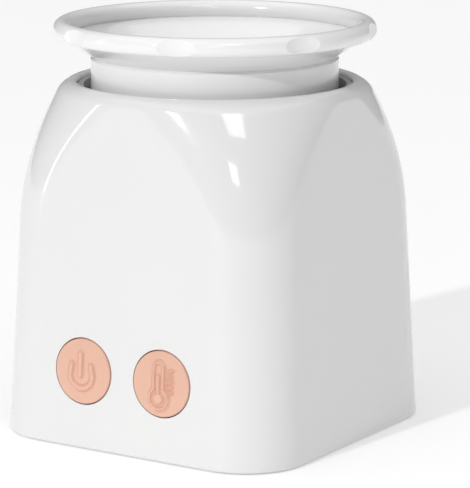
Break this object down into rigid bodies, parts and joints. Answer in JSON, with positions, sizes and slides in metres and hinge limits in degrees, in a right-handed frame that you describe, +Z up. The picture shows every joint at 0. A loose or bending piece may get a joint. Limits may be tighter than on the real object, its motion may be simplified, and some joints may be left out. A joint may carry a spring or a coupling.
{
  "type": "bottle warmer",
  "caption": "Portable bottle warmer: a rounded-square heating base with push buttons and a screw-in adapter that holds a bottle neck down.",
  "frame": {"origin": "on the surface it stands on, under the middle of the base", "axes": "+Z up along the well's axis, the face with the two buttons looks along -Y, +X to the right seen from the front"},
  "size_m": [0.0898, 0.0902, 0.1105],
  "materials": {
    "white_gloss": "gloss",
    "adapter_white": "gloss",
    "liner_grey": "fine texture",
    "cover_grey": "fine texture",
    "rose_gold": "satin",
    "foot_rubber": "matt",
    "seal_silicone": "satin",
    "stainless": "spun",
    "screw_steel": "zinc",
    "heater_film": "polyimide film",
    "insulation_wool": "felt",
    "chassis_plastic": "moulded",
    "cell_wrap": "shrink sleeve",
    "nickel": "rolled strip",
    "board_green": "solder mask",
    "chip_black": "moulded",
    "led_clear": "clear",
    "port_steel": "plated",
    "lead_red": "insulated wire",
    "lead_white": "insulated wire"
  },
  "bodies": {
    "base": {"outer_shell": "white_gloss", "bottom_cover": "cover_grey", "rubber_feet": "foot_rubber", "bottom_screws": "screw_steel", "well_liner": "liner_grey", "heating_cup": "stainless", "cup_gasket": "seal_silicone", "heater_band": "heater_film", "heater_insulation": "insulation_wool", "thermistor": "chip_black", "thermal_fuse": "screw_steel", "chassis": "chassis_plastic", "cup_pad": "seal_silicone", "battery_cells": "cell_wrap", "battery_cradle": "chassis_plastic", "cell_tabs": "nickel", "button_retainer": "chassis_plastic", "control_board": "board_green", "tact_switches": "chip_black", "indicator_leds": "led_clear", "board_screws": "screw_steel", "board_components": "chip_black", "charge_board": "board_green", "usb_port": "port_steel", "battery_leads": "lead_red", "charge_leads": "lead_red", "heater_leads": "lead_white", "sensor_leads": "lead_white"},
    "power_button": {"power_button": "rose_gold"},
    "temperature_button": {"temperature_button": "rose_gold"},
    "adapter_seal": {"adapter_seal": "seal_silicone"},
    "adapter": {"adapter_collar": "adapter_white", "adapter_funnel": "adapter_white", "bottle_seal": "seal_silicone"}
  },
  "joints": [
    {"name": "power_press", "type": "slide", "parent": "base", "child": "power_button", "axis": [0, 0.9991, -0.043], "range_m": [0, 0.0007], "stiffness_N_per_m": 3500, "springref_m": -0.0003},
    {"name": "temperature_press", "type": "slide", "parent": "base", "child": "temperature_button", "axis": [0, 0.9991, -0.043], "range_m": [0, 0.0007], "stiffness_N_per_m": 3500, "springref_m": -0.0003},
    {"name": "adapter_rise", "type": "slide", "parent": "base", "child": "adapter_seal", "axis": [0, 0, 1], "range_m": [0, 0.012]},
    {"name": "adapter_turn", "type": "hinge", "parent": "adapter_seal", "child": "adapter", "pos_m": [0, 0, 0.0938], "axis": [0, 0, 1], "range_deg": [0, 360]}
  ],
  "couplings": [
    {"joint": "adapter_rise", "follows": "adapter_turn", "m_per_rad": 0.0019099}
  ]
}
